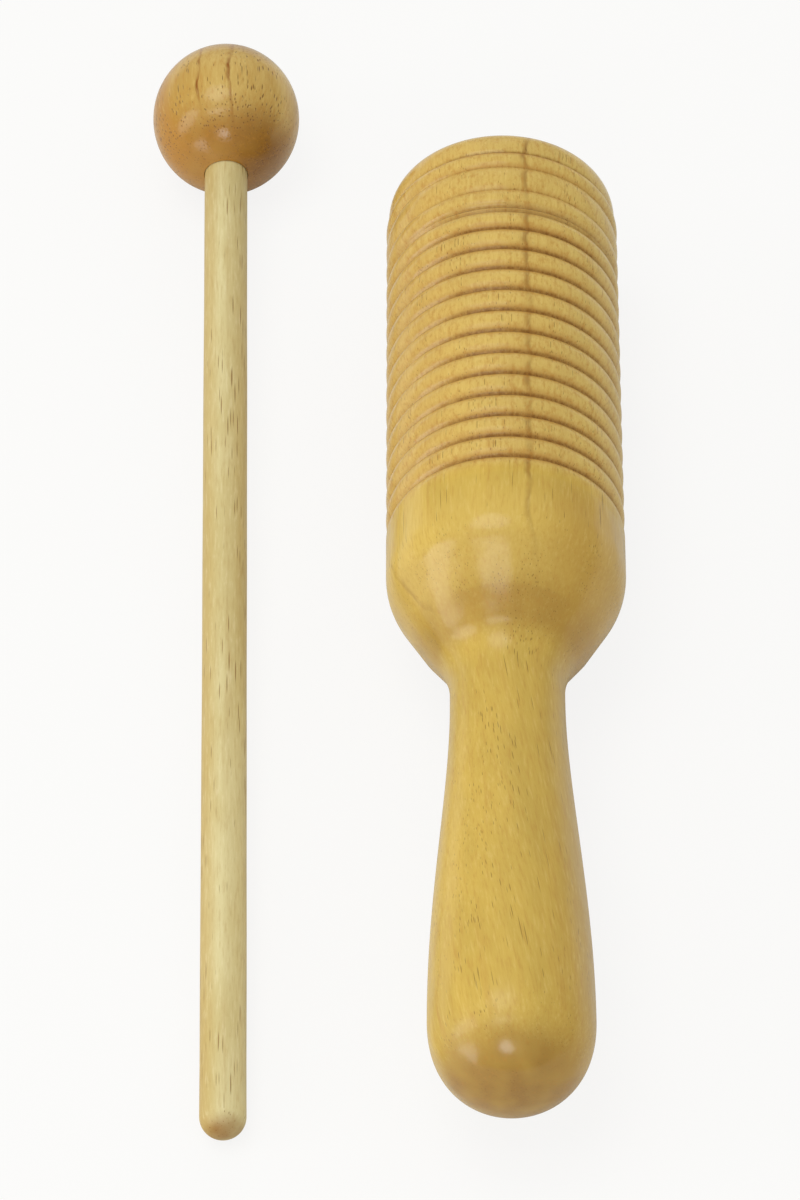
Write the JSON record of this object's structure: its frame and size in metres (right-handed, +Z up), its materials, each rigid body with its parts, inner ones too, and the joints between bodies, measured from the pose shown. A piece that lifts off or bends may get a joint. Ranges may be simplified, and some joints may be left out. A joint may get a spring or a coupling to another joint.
{
  "type": "woodblock",
  "caption": "Hand-held turned woodblock with a ridged hollow barrel and a bulbous handle, lying beside its ball-headed wooden beater.",
  "frame": {"origin": "on the floor, under the middle of the box round the block and its beater", "axes": "+Z up from the floor; +Y along the block from its handle to its open end; +X from the beater to the block"},
  "size_m": [0.0936, 0.2687, 0.046],
  "materials": {
    "block_wood": "clear satin lacquer on pale hardwood",
    "head_wood": "clear gloss lacquer on warm brown hardwood",
    "stick_wood": "sanded pale hardwood dowel with a thin clear coat"
  },
  "bodies": {
    "block": {"block_body": "block_wood"},
    "beater": {"beater_stick": "stick_wood", "beater_head": "head_wood"}
  },
  "joints": [
    {"name": "beater_lift", "type": "slide", "parent": "block", "child": "beater", "axis": [0, 0, 1], "range_m": [0, 0.15]}
  ]
}
